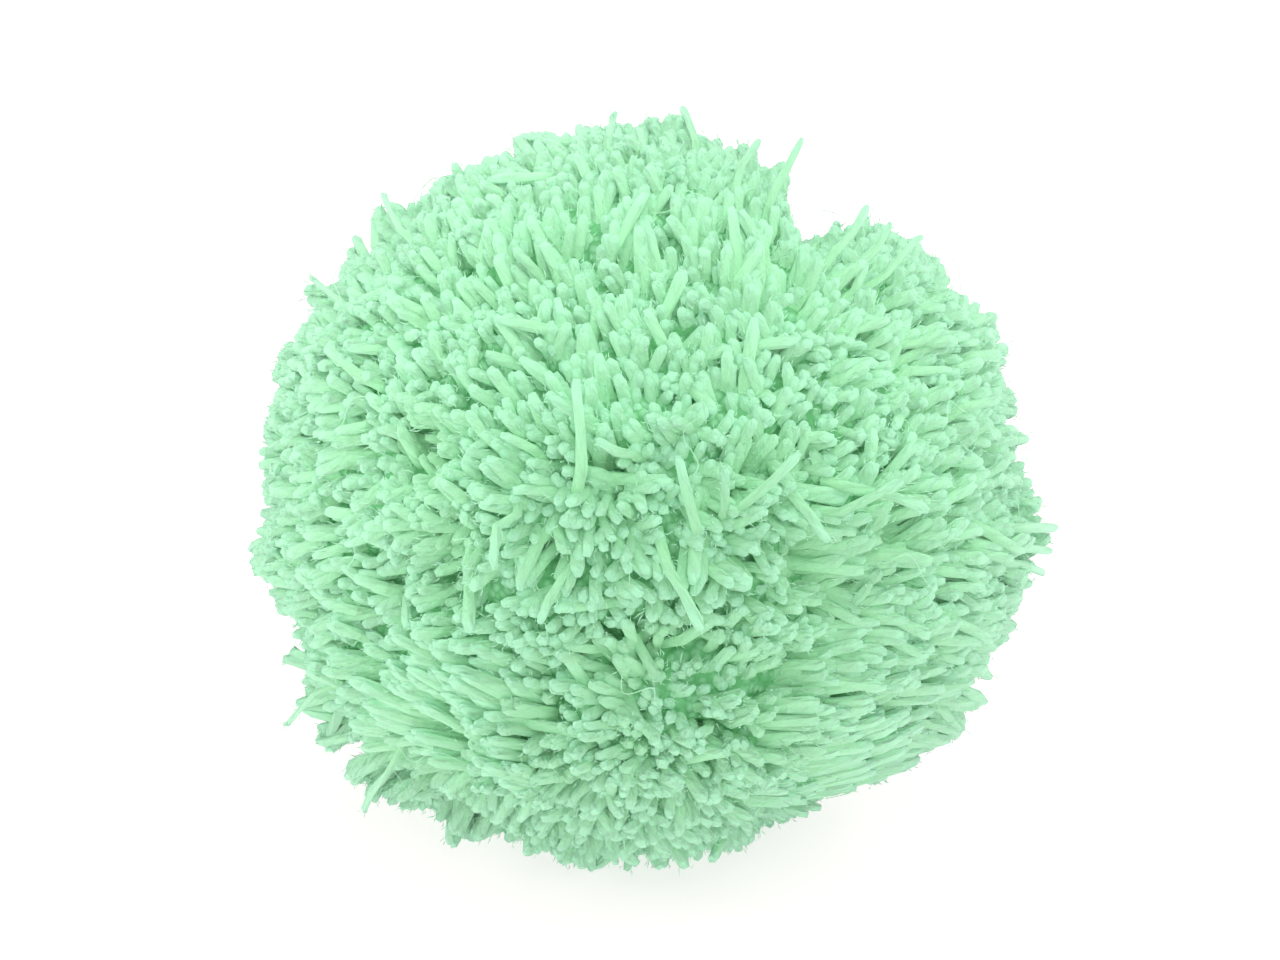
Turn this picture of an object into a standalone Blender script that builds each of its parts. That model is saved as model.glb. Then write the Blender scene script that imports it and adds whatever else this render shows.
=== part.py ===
"""A round pom pom of cut yarn, resting on the level ends of the locks under it.

The pom pom is one piece: every lock of yarn is fused at its root into a ball.
The ball is a cube grid blown up to a sphere, and each cell of the grid is
extruded outwards, ring by ring, into one four-sided lock. Locks lean together
into tufts, as cut yarn does, so that valleys open between the tufts.
Metres, +Z up, -Y to the front. The origin is on the surface it rests on,
under the middle of the pom pom.
"""

import math

import bmesh
import bpy
import numpy as np

# Driving dimensions of the whole pom pom
WIDTH = 0.100
DEPTH = 0.097
HEIGHT = 0.091
CENTRE_HEIGHT = 0.0435

# Ball that the roots are fused into, as a share of the way out to the tips
ROOT_SHARE = 0.56

# Grid of locks: cells along each edge of the cube that becomes the ball
CELLS_PER_EDGE = 7
GRID_JITTER = 0.22
GRID_TURN = (0.10, 0.60, 0.50)

# Rings of one lock from its root to its tip: how far out each lies, and its
# width as a share of the cell. The cut ends differ in length, slope and lean.
LOCK_RINGS = (
    {"way_out": 0.12, "fullness": 0.78},
    {"way_out": 0.60, "fullness": 0.80},
    {"way_out": 0.87, "fullness": 0.66},
    {"way_out": 1.00, "fullness": 0.27},
)
TALLEST = 0.0006
SHORTEST = -0.0030
TIP_TILT = 0.0008
TIP_LEAN = 0.12

# How strongly the tips lean to the middle of their tuft, and how sharply
# one tuft gives way to the next
TUFT_PULL = 0.45
TUFT_SHARPNESS = 90.0
TUFT_DOME = 0.0022
TUFT_SPACING = 0.30
TUFTS_ALL_ROUND = 78
HIDDEN_TUFT_SWING = 0.0012

# Tufts that point down more steeply than this are pressed onto the surface
UNDERSIDE = -0.80
UNDERSIDE_EXTRA = 0.003

# Tufts of the front half. Turn is counted from the front towards +X, rise
# upwards from the level of the ball's middle, both in degrees.
TUFTS = (
    {"name": "crown", "turn": -20, "rise": 77, "reach": 0.0490},
    {"name": "crown_right", "turn": 39, "rise": 68, "reach": 0.0485},
    {"name": "crown_left", "turn": -54, "rise": 62, "reach": 0.0485},
    {"name": "shoulder_left", "turn": -69, "rise": 45, "reach": 0.0480},
    {"name": "left_high", "turn": -72, "rise": 29, "reach": 0.0505},
    {"name": "left", "turn": -70, "rise": 13, "reach": 0.0485},
    {"name": "left_mid", "turn": -72, "rise": -3, "reach": 0.0508},
    {"name": "left_low", "turn": -63, "rise": -17, "reach": 0.0495},
    {"name": "left_foot", "turn": -63, "rise": -38, "reach": 0.0530},
    {"name": "foot_left", "turn": -35, "rise": -46, "reach": 0.0505},
    {"name": "foot_front", "turn": 2, "rise": -42, "reach": 0.0490},
    {"name": "foot_right", "turn": 30, "rise": -40, "reach": 0.0465},
    {"name": "right_foot", "turn": 50, "rise": -27, "reach": 0.0485},
    {"name": "right_low", "turn": 62, "rise": -13, "reach": 0.0490},
    {"name": "right_corner", "turn": 76, "rise": -3, "reach": 0.0510},
    {"name": "right", "turn": 68, "rise": 15, "reach": 0.0480},
    {"name": "right_high", "turn": 71, "rise": 30, "reach": 0.0495},
    {"name": "shoulder_right", "turn": 60, "rise": 47, "reach": 0.0475},
    {"name": "brow_left", "turn": -39, "rise": 42, "reach": 0.0480},
    {"name": "brow", "turn": -14, "rise": 46, "reach": 0.0470},
    {"name": "brow_right", "turn": 15, "rise": 44, "reach": 0.0475},
    {"name": "cheek_right", "turn": 38, "rise": 31, "reach": 0.0480},
    {"name": "temple_left", "turn": -48, "rise": 27, "reach": 0.0485},
    {"name": "heart", "turn": -6, "rise": 24, "reach": 0.0495},
    {"name": "heart_right", "turn": 14, "rise": 23, "reach": 0.0495},
    {"name": "heart_left", "turn": -27, "rise": 26, "reach": 0.0490},
    {"name": "ear_left", "turn": -44, "rise": 10, "reach": 0.0480},
    {"name": "ear_right", "turn": 39, "rise": 11, "reach": 0.0490},
    {"name": "chin_left", "turn": -36, "rise": -6, "reach": 0.0480},
    {"name": "chin", "turn": -15, "rise": 4, "reach": 0.0490},
    {"name": "chin_middle", "turn": 3, "rise": 4, "reach": 0.0490},
    {"name": "chin_right", "turn": 21, "rise": 4, "reach": 0.0485},
    {"name": "jowl_right", "turn": 41, "rise": -9, "reach": 0.0485},
    {"name": "lap_left", "turn": -24, "rise": -22, "reach": 0.0495},
    {"name": "lap", "turn": -2, "rise": -19, "reach": 0.0505},
    {"name": "lap_right", "turn": 18, "rise": -18, "reach": 0.0500},
)

# Dents where tufts part further than elsewhere
DENTS = (
    {"name": "crown_notch", "turn": 80, "rise": 62, "depth": 0.0085, "spread": 0.16},
    {"name": "temple", "turn": -58, "rise": 24, "depth": 0.0030, "spread": 0.13},
    {"name": "waist_left", "turn": -45, "rise": 2, "depth": 0.0030, "spread": 0.12},
    {"name": "waist_front", "turn": 6, "rise": -7, "depth": 0.0040, "spread": 0.14},
    {"name": "waist_right", "turn": 31, "rise": -1, "depth": 0.0035, "spread": 0.12},
    {"name": "hip_left", "turn": -78, "rise": -16, "depth": 0.0030, "spread": 0.10},
    {"name": "foot_notch", "turn": -52, "rise": -52, "depth": 0.0040, "spread": 0.12},
)

# Heights below this are the surface itself, and slopes below this never meet it
ROUND_OFF = 1e-7
NEARLY_LEVEL = 0.05

YARN_COLOUR = (0.36, 0.74, 0.43, 1.0)
YARN_ROUGHNESS = 0.95


def direction(turn, rise):
    """Unit vector for a turn and a rise in degrees."""
    turn, rise = math.radians(turn), math.radians(rise)
    return np.array((math.sin(turn) * math.cos(rise), -math.cos(turn) * math.cos(rise), math.sin(rise)))


def evenly_spread(count):
    """Unit vectors on a golden spiral, evenly spread over the ball."""
    step = np.arange(count) + 0.5
    height = 1.0 - 2.0 * step / count
    turn = step * math.pi * (3.0 - math.sqrt(5.0))
    level = np.sqrt(1.0 - height**2)
    return np.stack((level * np.cos(turn), level * np.sin(turn), height), axis=1)


def ball_reach(way):
    """Distance from the middle to the plain egg shape along each direction."""
    up = HEIGHT - CENTRE_HEIGHT
    size = np.array((WIDTH / 2, DEPTH / 2, up))
    return 1.0 / np.linalg.norm(way / size, axis=-1)


def all_tufts():
    """Directions and reaches of the front tufts and of those that fill the rest."""
    ways = [direction(row["turn"], row["rise"]) for row in TUFTS]
    reaches = [row["reach"] for row in TUFTS]
    for number, way in enumerate(evenly_spread(TUFTS_ALL_ROUND)):
        if max(np.dot(ways, way)) < math.cos(TUFT_SPACING):
            reach = ball_reach(way) + HIDDEN_TUFT_SWING * math.sin(2.4 * number)
            ways.append(way)
            reaches.append(reach + UNDERSIDE_EXTRA * (way[2] < UNDERSIDE))
    return np.array(ways), np.array(reaches)


def tuft_weights(ways, tuft_ways):
    """Share of each tuft in each direction, from 0 to 1."""
    closeness = ways @ tuft_ways.T
    weights = np.exp(TUFT_SHARPNESS * (closeness - closeness.max(axis=1, keepdims=True)))
    return weights / weights.sum(axis=1, keepdims=True)


def tip_reach(ways, tuft_ways, tuft_reaches):
    """Distance from the middle to the yarn's ends along each direction."""
    reach = tuft_weights(ways, tuft_ways) @ tuft_reaches
    nearest = np.arccos(np.clip((ways @ tuft_ways.T).max(axis=1), -1.0, 1.0))
    reach -= TUFT_DOME * (nearest / TUFT_SPACING) ** 2
    for dent in DENTS:
        away = np.arccos(np.clip(ways @ direction(dent["turn"], dent["rise"]), -1.0, 1.0))
        reach -= dent["depth"] * np.exp(-((away / dent["spread"]) ** 2))
    return reach


def lean_to_tuft(ways, tuft_ways, pull):
    """Directions drawn towards the middle of their tuft."""
    target = tuft_weights(ways, tuft_ways) @ tuft_ways
    leaned = ways + pull * (target - ways)
    return leaned / np.linalg.norm(leaned, axis=1, keepdims=True)


def blown_up_grid(jitter):
    """Cube grid with its corners moved onto the unit sphere, cells of like size."""
    bm = bmesh.new()
    bmesh.ops.create_cube(bm, size=2.0)
    bmesh.ops.subdivide_edges(bm, edges=bm.edges[:], cuts=CELLS_PER_EDGE - 1, use_grid_fill=True)
    places = np.array([vertex.co for vertex in bm.verts])
    places = np.tan(places * math.pi / 4)
    places /= np.linalg.norm(places, axis=1, keepdims=True)
    cell = math.pi / 2 / CELLS_PER_EDGE
    places += jitter.uniform(-1.0, 1.0, places.shape) * GRID_JITTER * cell
    places /= np.linalg.norm(places, axis=1, keepdims=True)
    for axis, angle in enumerate(GRID_TURN):
        first, second = (axis + 1) % 3, (axis + 2) % 3
        turned = places.copy()
        turned[:, first] = places[:, first] * math.cos(angle) - places[:, second] * math.sin(angle)
        turned[:, second] = places[:, first] * math.sin(angle) + places[:, second] * math.cos(angle)
        places = turned
    for vertex, place in zip(bm.verts, places):
        vertex.co = place
    return bm


def surface_distance(ways):
    """Distance from the middle to the surface below, far off where a direction misses it."""
    return CENTRE_HEIGHT / np.maximum(-ways[:, 2], NEARLY_LEVEL)


def put(vertices, ways, distances):
    """Move vertices out along their directions from the middle of the ball."""
    for vertex, way, distance in zip(vertices, ways, distances):
        vertex.co = (way[0] * distance, way[1] * distance, CENTRE_HEIGHT + way[2] * distance)
        if abs(vertex.co.z) < ROUND_OFF:
            vertex.co.z = 0.0


def lock_shape(corners, tuft_ways, tuft_reaches, jitter):
    """Directions and distances of a lock's corners, ring by ring, above one cell of the ball."""
    middle = corners.mean(axis=0)
    middle /= np.linalg.norm(middle)
    tip = float(tip_reach(middle[None], tuft_ways, tuft_reaches)[0])
    root = tip * ROOT_SHARE
    cut = jitter.uniform(SHORTEST, TALLEST)
    slope = jitter.uniform(-TIP_TILT, TIP_TILT, 4)
    lean = jitter.uniform(-TIP_LEAN, TIP_LEAN, 3) * math.pi / 2 / CELLS_PER_EDGE
    if surface_distance(middle[None])[0] > tip:
        tip += cut
    rings = []
    for ring in LOCK_RINGS:
        ways = middle + ring["fullness"] * (corners - middle) + lean * ring["way_out"] ** 3
        ways /= np.linalg.norm(ways, axis=1, keepdims=True)
        ways = lean_to_tuft(ways, tuft_ways, TUFT_PULL * ring["way_out"])
        surface = surface_distance(ways)
        ends = np.where(surface < tip, surface, np.minimum(tip + slope, surface))
        rings.append((ways, root + (ends - root) * ring["way_out"]))
    return rings


def make_pom_pom():
    """The ball with a lock on each cell of its grid."""
    jitter = np.random.RandomState(7)
    tuft_ways, tuft_reaches = all_tufts()
    bm = blown_up_grid(jitter)
    cells = bm.faces[:]
    locks = []
    for cell in cells:
        corners = np.array([vertex.co for vertex in cell.verts])
        locks.append(lock_shape(corners, tuft_ways, tuft_reaches, jitter))
    ways = np.array([vertex.co for vertex in bm.verts])
    put(bm.verts[:], ways, tip_reach(ways, tuft_ways, tuft_reaches) * ROOT_SHARE)
    for face, rings in zip(cells, locks):
        for ring_ways, distances in rings:
            face = bmesh.ops.extrude_discrete_faces(bm, faces=[face])["faces"][0]
            put(face.verts[:], ring_ways, distances)
    bmesh.ops.recalc_face_normals(bm, faces=bm.faces[:])
    mesh = bpy.data.meshes.new("pom_pom")
    bm.to_mesh(mesh)
    bm.free()
    return bpy.data.objects.new("pom_pom", mesh)


def yarn_material():
    """Matt mint green yarn."""
    material = bpy.data.materials.new("yarn")
    material.use_nodes = True
    shader = material.node_tree.nodes["Principled BSDF"]
    shader.inputs["Base Color"].default_value = YARN_COLOUR
    shader.inputs["Roughness"].default_value = YARN_ROUGHNESS
    shader.inputs["Metallic"].default_value = 0.0
    return material


for leftover in list(bpy.data.objects):
    bpy.data.objects.remove(leftover, do_unlink=True)

collection = bpy.data.collections.new("yarn_pom_pom")
bpy.context.scene.collection.children.link(collection)
pom_pom = make_pom_pom()
pom_pom.data.materials.append(yarn_material())
collection.objects.link(pom_pom)
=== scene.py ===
# %% [markdown]
# # A pom pom of cut yarn
# A pom pom is a bundle of yarn, tied at its middle, whose ends are cut and combed out
# into a ball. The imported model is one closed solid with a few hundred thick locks. It
# could be dressed with a noise displacement, but cut yarn is recognised by its single
# strands, so this lesson lays 14,000 of them over the same shape.

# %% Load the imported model
import math

import bpy
import numpy as np
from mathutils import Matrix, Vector


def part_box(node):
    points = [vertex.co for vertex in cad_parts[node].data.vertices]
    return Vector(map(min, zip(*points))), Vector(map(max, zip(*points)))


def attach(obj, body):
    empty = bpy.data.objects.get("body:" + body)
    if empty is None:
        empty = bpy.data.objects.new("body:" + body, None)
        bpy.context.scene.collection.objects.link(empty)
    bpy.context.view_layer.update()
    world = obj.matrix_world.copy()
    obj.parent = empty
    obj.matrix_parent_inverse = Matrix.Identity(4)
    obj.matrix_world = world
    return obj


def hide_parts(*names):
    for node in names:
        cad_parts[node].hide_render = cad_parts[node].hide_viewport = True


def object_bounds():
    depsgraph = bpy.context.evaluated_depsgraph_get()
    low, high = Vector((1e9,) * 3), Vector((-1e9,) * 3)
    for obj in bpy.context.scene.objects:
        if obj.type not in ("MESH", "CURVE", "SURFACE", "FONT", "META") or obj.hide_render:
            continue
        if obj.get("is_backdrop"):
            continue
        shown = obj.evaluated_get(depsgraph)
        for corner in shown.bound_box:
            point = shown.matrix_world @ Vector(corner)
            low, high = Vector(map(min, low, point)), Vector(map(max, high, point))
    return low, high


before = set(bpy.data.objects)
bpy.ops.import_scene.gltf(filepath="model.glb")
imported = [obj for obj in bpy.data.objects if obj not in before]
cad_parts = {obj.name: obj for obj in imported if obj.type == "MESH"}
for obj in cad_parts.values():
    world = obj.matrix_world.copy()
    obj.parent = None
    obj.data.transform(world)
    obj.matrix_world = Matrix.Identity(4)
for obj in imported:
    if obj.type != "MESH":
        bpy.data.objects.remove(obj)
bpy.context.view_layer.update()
low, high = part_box("pom_pom")
print("Solid in mm:", [round(1000 * (top - bottom), 1) for bottom, top in zip(low, high)])

# %% [markdown]
# # Sizes
# Everything is in metres. The strands start from the middle of the ball, which lies a
# little below half its height because the underside is pressed level. Yarn that is
# 1.5 mm thick and packed side by side gives the number of strands.

# %% Sizes
MILLIMETRE = 0.001
CENTRE_HEIGHT = 0.0435
STRAND_THICKNESS = 0.00150
STRANDS_ALL_ROUND = 14000
STRANDS_PER_CLUMP = 4.5
ROOT_SHARE = 0.78

half_size = np.array(((high.x - low.x) / 2, (high.y - low.y) / 2, high.z - CENTRE_HEIGHT))
middle = np.array(((high.x + low.x) / 2, (high.y + low.y) / 2, CENTRE_HEIGHT))
draw = np.random.RandomState(11)
print("Half sizes in mm:", np.round(half_size * 1000, 1))

# %% [markdown]
# # Tufts
# The yarn of a pom pom doesn't spread evenly. It parts into tufts. A table with a row
# for each tuft of the front is easier to correct by eye than any noise: turn is counted
# from the front towards +X and rise upwards, in degrees, and reach is how far its ends
# lie from the middle. Dents and small pits are taken off that reach. The back gets
# evenly spread tufts where the table has none.

# %% Table of tufts and dents
TUFTS = (
    {"name": "crown", "turn": -20, "rise": 77, "reach": 0.0490},
    {"name": "crown_right", "turn": 39, "rise": 68, "reach": 0.0485},
    {"name": "crown_left", "turn": -54, "rise": 62, "reach": 0.0485},
    {"name": "shoulder_left", "turn": -69, "rise": 45, "reach": 0.0480},
    {"name": "left_high", "turn": -72, "rise": 29, "reach": 0.0505},
    {"name": "left", "turn": -70, "rise": 13, "reach": 0.0485},
    {"name": "left_mid", "turn": -72, "rise": -3, "reach": 0.0508},
    {"name": "left_low", "turn": -63, "rise": -17, "reach": 0.0495},
    {"name": "left_foot", "turn": -63, "rise": -38, "reach": 0.0508},
    {"name": "foot_left", "turn": -35, "rise": -46, "reach": 0.0490},
    {"name": "foot_front", "turn": 2, "rise": -42, "reach": 0.0492},
    {"name": "foot_right", "turn": 30, "rise": -40, "reach": 0.0450},
    {"name": "right_foot", "turn": 50, "rise": -27, "reach": 0.0472},
    {"name": "right_low", "turn": 62, "rise": -13, "reach": 0.0496},
    {"name": "right_heel", "turn": 75, "rise": -36, "reach": 0.0485},
    {"name": "right_low_behind", "turn": 88, "rise": -15, "reach": 0.0500},
    {"name": "right_behind", "turn": 98, "rise": 22, "reach": 0.0488},
    {"name": "right_corner", "turn": 76, "rise": -3, "reach": 0.0500},
    {"name": "right", "turn": 68, "rise": 15, "reach": 0.0480},
    {"name": "right_high", "turn": 71, "rise": 30, "reach": 0.0495},
    {"name": "shoulder_right", "turn": 60, "rise": 47, "reach": 0.0475},
    {"name": "brow_left", "turn": -39, "rise": 42, "reach": 0.0480},
    {"name": "brow", "turn": -14, "rise": 46, "reach": 0.0470},
    {"name": "brow_right", "turn": 15, "rise": 44, "reach": 0.0475},
    {"name": "cheek_right", "turn": 38, "rise": 31, "reach": 0.0480},
    {"name": "temple_left", "turn": -48, "rise": 27, "reach": 0.0485},
    {"name": "heart", "turn": -6, "rise": 24, "reach": 0.0495},
    {"name": "heart_right", "turn": 14, "rise": 23, "reach": 0.0495},
    {"name": "heart_left", "turn": -27, "rise": 26, "reach": 0.0490},
    {"name": "ear_left", "turn": -44, "rise": 10, "reach": 0.0480},
    {"name": "ear_right", "turn": 39, "rise": 11, "reach": 0.0490},
    {"name": "chin_left", "turn": -36, "rise": -6, "reach": 0.0480},
    {"name": "chin", "turn": -15, "rise": 4, "reach": 0.0490},
    {"name": "chin_middle", "turn": 3, "rise": 4, "reach": 0.0490},
    {"name": "chin_right", "turn": 21, "rise": 4, "reach": 0.0485},
    {"name": "jowl_right", "turn": 41, "rise": -9, "reach": 0.0485},
    {"name": "lap_left", "turn": -24, "rise": -22, "reach": 0.0495},
    {"name": "lap", "turn": -2, "rise": -19, "reach": 0.0505},
    {"name": "lap_right", "turn": 18, "rise": -18, "reach": 0.0500},
)
DENTS = (
    {"name": "crown_notch", "turn": 91, "rise": 62, "depth": 0.0080, "spread": 0.13},
    {"name": "crown_notch_front", "turn": 66, "rise": 61, "depth": 0.0035, "spread": 0.12},
    {"name": "crown_notch_top", "turn": 121, "rise": 55, "depth": 0.0120, "spread": 0.15},
    {"name": "crown_notch_behind", "turn": 140, "rise": 43, "depth": 0.0080, "spread": 0.15},
    {"name": "crown_dip", "turn": 155, "rise": 68, "depth": 0.0040, "spread": 0.11},
    {"name": "heel_notch", "turn": 60, "rise": -54, "depth": 0.0032, "spread": 0.16},
    {"name": "temple", "turn": -58, "rise": 24, "depth": 0.0030, "spread": 0.13},
    {"name": "waist_left", "turn": -45, "rise": 2, "depth": 0.0030, "spread": 0.12},
    {"name": "waist_front", "turn": 4, "rise": -7, "depth": 0.0022, "spread": 0.14},
    {"name": "waist_right", "turn": 31, "rise": -1, "depth": 0.0035, "spread": 0.12},
    {"name": "hip_left", "turn": -78, "rise": -16, "depth": 0.0015, "spread": 0.10},
    {"name": "foot_notch", "turn": -52, "rise": -52, "depth": 0.0025, "spread": 0.12},
)
# Small dark pits between the tufts: turn, rise, depth in mm, spread in degrees.
PITS = (
    (-43, 23, 5.0, 5.0), (-34, 9, 4.5, 5.0), (-35, 1, 3.5, 3.0), (-15, 10, 4.0, 3.0),
    (0, -3, 5.0, 4.0), (-5, -10, 4.0, 3.0), (-19, -15, 4.0, 4.0), (-15, -26, 4.5, 3.5),
    (-3, -19, 3.5, 3.0), (9, -21, 3.5, 3.0), (19, -17, 4.0, 3.5), (26, -22, 4.0, 3.5),
    (17, -8, 4.5, 3.5), (23, -9, 4.0, 4.0), (26, 8, 6.0, 5.0), (42, 10, 5.0, 4.5),
    (42, 16, 4.0, 3.0), (17, 25, 4.5, 3.0), (25, 25, 4.5, 3.5), (10, 20, 4.5, 3.0),
    (-6, 23, 4.0, 3.5), (-35, -23, 5.0, 4.0), (-9, -4, 4.0, 3.0), (7, -2, 3.5, 4.0),
    (33, 1, 3.0, 4.0), (-54, -33, 3.5, 6.0), (-43, -42, 3.0, 5.0),
)
TUFTS_ALL_ROUND = 78
TUFT_SPACING = 0.30
TUFT_SHARPNESS = 110.0
TUFT_PULL = 0.10
TUFT_DOME = 0.0020
HIDDEN_TUFT_SWING = 0.0012
HIDDEN_TUFT_BEAT = 2.4
HIDDEN_TUFT_DROP = 0.5


def direction(turn, rise):
    """Unit vector for a turn and a rise in degrees."""
    turn, rise = math.radians(turn), math.radians(rise)
    level = math.cos(rise)
    return np.array((math.sin(turn) * level, -math.cos(turn) * level, math.sin(rise)))


def unit(vectors):
    """The same vectors with a length of 1."""
    return vectors / np.linalg.norm(vectors, axis=-1, keepdims=True)


def evenly_spread(count):
    """Unit vectors on a golden spiral, evenly spread over the ball."""
    step = np.arange(count) + 0.5
    height = 1.0 - 2.0 * step / count
    turn = step * math.pi * (3.0 - math.sqrt(5.0))
    level = np.sqrt(1.0 - height**2)
    return np.stack((level * np.cos(turn), level * np.sin(turn), height), axis=1)


# %% Fill the back and the underside with tufts
tuft_ways = [direction(row["turn"], row["rise"]) for row in TUFTS]
tuft_reaches = [row["reach"] for row in TUFTS]
for number, way in enumerate(evenly_spread(TUFTS_ALL_ROUND)):
    if max(np.dot(tuft_ways, way)) < math.cos(TUFT_SPACING):
        plain_reach = 1.0 / np.linalg.norm(way / half_size)
        tuft_ways.append(way)
        swing = math.sin(HIDDEN_TUFT_BEAT * number) - HIDDEN_TUFT_DROP
        tuft_reaches.append(plain_reach + HIDDEN_TUFT_SWING * swing)
tuft_ways = np.array(tuft_ways)
tuft_reaches = np.array(tuft_reaches)
print("Tufts:", len(TUFTS), "in front,", len(tuft_ways) - len(TUFTS), "behind and below")

# %% [markdown]
# One strand, modelled
# A strand of plied yarn is a soft twisted tube with a blunt, rounded end. It could be a
# curve with a bevel, but thousands of curves are heavy, so one strand is modelled on a
# circle that is extruded, scaled and turned step by step, and that mesh is bent along
# every strand's own line. A short fibre is a spindle of six triangles, made from a cone.

# %% Model the strand and the fibre
STRAND_SIDES = 5
STRAND_STEPS = (
    {"along": 0.450, "width": 1.00},
    {"along": 0.720, "width": 1.00},
    {"along": 0.945, "width": 1.00},
    {"along": 1.000, "width": 0.60},
)
PLY_TURN = math.radians(30.0)
PLY_GROOVE = 0.94
CURL_SEGMENTS = 14
CURL_STEPS = tuple(
    {"along": step / CURL_SEGMENTS, "width": 1.0} for step in range(1, CURL_SEGMENTS + 1)
)
FIBRE_SIDES = 3
FIBRE_RIM = 0.5
# Where the two ends and the side of a tube lie in its map.
ROOT_CAP_HEIGHT = 0.012
END_CAP_HEIGHT = 0.985
CAP_ACROSS = 0.45
CAP_UPWARDS = 0.010
SIDE_TOP = 0.97


def model_tube(name, sides, steps, turn, groove):
    """An upright tube of radius 1 and height 1, extruded from a circle step by step."""
    bpy.ops.object.select_all(action="DESELECT")
    bpy.ops.mesh.primitive_circle_add(vertices=sides, radius=1.0, fill_type="NGON")
    tube = bpy.context.object
    tube.name = name
    for vertex in list(tube.data.vertices)[::2]:
        vertex.co *= groove
    bpy.ops.object.mode_set(mode="EDIT")
    bpy.ops.mesh.select_mode(type="FACE")
    bpy.ops.mesh.select_all(action="SELECT")
    height, width = 0.0, 1.0
    for step in steps:
        rise, growth = step["along"] - height, step["width"] / width
        bpy.ops.mesh.extrude_region_move(TRANSFORM_OT_translate={"value": (0.0, 0.0, rise)})
        bpy.ops.transform.resize(value=(growth, growth, 1.0))
        bpy.ops.transform.rotate(value=turn, orient_axis="Z", center_override=(0.0, 0.0, 0.0))
        height, width = step["along"], step["width"]
    bpy.ops.mesh.select_all(action="SELECT")
    bpy.ops.mesh.normals_make_consistent(inside=False)
    bpy.ops.object.mode_set(mode="OBJECT")
    return tube


def model_fibre(name):
    """An upright spindle of height 1, pointed at both ends, with radius 1 at its rim."""
    bpy.ops.object.select_all(action="DESELECT")
    cone_height = 1.0 - FIBRE_RIM
    bpy.ops.mesh.primitive_cone_add(
        vertices=FIBRE_SIDES, radius1=1.0, radius2=0.0, depth=cone_height, end_fill_type="TRIFAN"
    )
    spindle = bpy.context.object
    spindle.name = name
    for vertex in spindle.data.vertices:
        is_base_centre = vertex.co.z < 0.0 and vertex.co.xy.length < 0.5
        vertex.co.z = 0.0 if is_base_centre else vertex.co.z + FIBRE_RIM + cone_height / 2
    return spindle


def read_tube(tube, sides, steps, turn):
    """Points, heights, the height each point lies at, faces and their corners in the map."""
    places = np.array([vertex.co for vertex in tube.data.vertices])
    heights = np.array([0.0] + [step["along"] for step in steps])
    station = np.abs(places[:, 2:3] - heights).argmin(axis=1)
    angle = np.arctan2(places[:, 1], places[:, 0]) + abs(turn) * station
    column = np.round(angle / (2 * math.pi) * sides).astype(int) % sides
    faces = [list(face.vertices) for face in tube.data.polygons]
    corners = []
    for face in faces:
        stations = station[face]
        if stations.min() == stations.max():
            shift = END_CAP_HEIGHT if stations[0] else ROOT_CAP_HEIGHT
            for i in face:
                x, y = places[i, :2]
                corners.append((0.5 + CAP_ACROSS * x, shift + CAP_UPWARDS * y))
            continue
        columns = column[face]
        last = columns.max() == sides - 1 and columns.min() == 0
        for i in face:
            around = sides if last and column[i] == 0 else column[i]
            corners.append((around / sides, SIDE_TOP * heights[station[i]]))
    return places[:, :2], heights, station, faces, np.array(corners)


strand = model_tube("strand", STRAND_SIDES, STRAND_STEPS, PLY_TURN, PLY_GROOVE)
fibre = model_fibre("fibre")
curl = model_tube("curl", FIBRE_SIDES, CURL_STEPS, 0.0, 1.0)
strand_form = read_tube(strand, STRAND_SIDES, STRAND_STEPS, PLY_TURN)
fibre_form = read_tube(fibre, FIBRE_SIDES, ({"along": FIBRE_RIM}, {"along": 1.0}), 0.0)
curl_form = read_tube(curl, FIBRE_SIDES, CURL_STEPS, 0.0)
for model in (strand, fibre, curl):
    bpy.data.objects.remove(model, do_unlink=True)
print("Faces of one strand:", len(strand_form[3]))

# %% [markdown]
# # The way the yarn is combed
# Handling combs the yarn of each tuft its own way: up on the crown, out to the corners
# below. Each row of the next table holds a turn and a rise on the ball, and how many
# degrees the ends there lie ahead of their roots, sideways and upwards. Between the
# rows the comb blends from one to the next. Behind, it wanders.

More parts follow.
